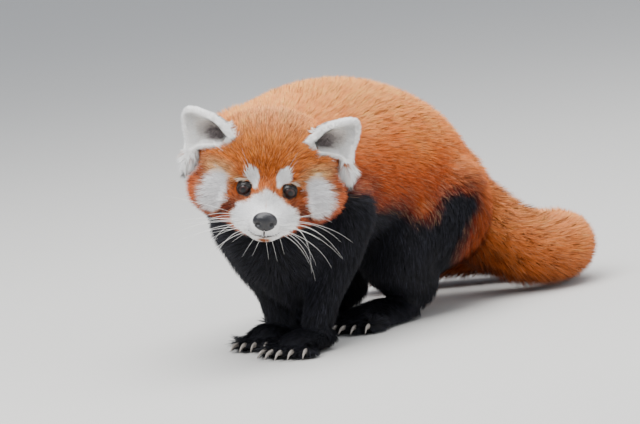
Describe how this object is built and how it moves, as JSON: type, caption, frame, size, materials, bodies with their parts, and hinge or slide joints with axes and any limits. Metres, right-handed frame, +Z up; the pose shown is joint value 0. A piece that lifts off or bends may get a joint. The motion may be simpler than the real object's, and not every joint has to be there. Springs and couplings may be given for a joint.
{
  "type": "red panda",
  "caption": "Life-size red panda model standing on all fours, face to the viewer, with a bushy tail curled behind it.",
  "frame": {"origin": "on the floor, under the middle of the animal's box", "axes": "-Y is where the face and the forelegs point, +X is the animal's left, where the tail swings out, +Z up"},
  "size_m": [0.365, 0.4716, 0.2315],
  "materials": {
    "russet_fur": "matte fur",
    "black_fur": "matte fur",
    "white_fur": "matte fur",
    "nose_skin": "moist skin",
    "eye": "gloss"
  },
  "bodies": {
    "root": {"head": "russet_fur", "neck": "russet_fur", "torso": "russet_fur", "ear_left": "white_fur", "ear_right": "white_fur", "eye_left": "eye", "eye_right": "eye", "nose": "nose_skin", "foreleg_left": "black_fur", "foreleg_right": "black_fur", "forepaw_left": "black_fur", "forepaw_right": "black_fur", "thigh_left": "russet_fur", "thigh_right": "russet_fur", "hindpaw_left": "black_fur", "hindpaw_right": "black_fur", "tail_1": "russet_fur", "tail_2": "russet_fur", "tail_3": "russet_fur", "tail_4": "russet_fur"}
  },
  "joints": []
}
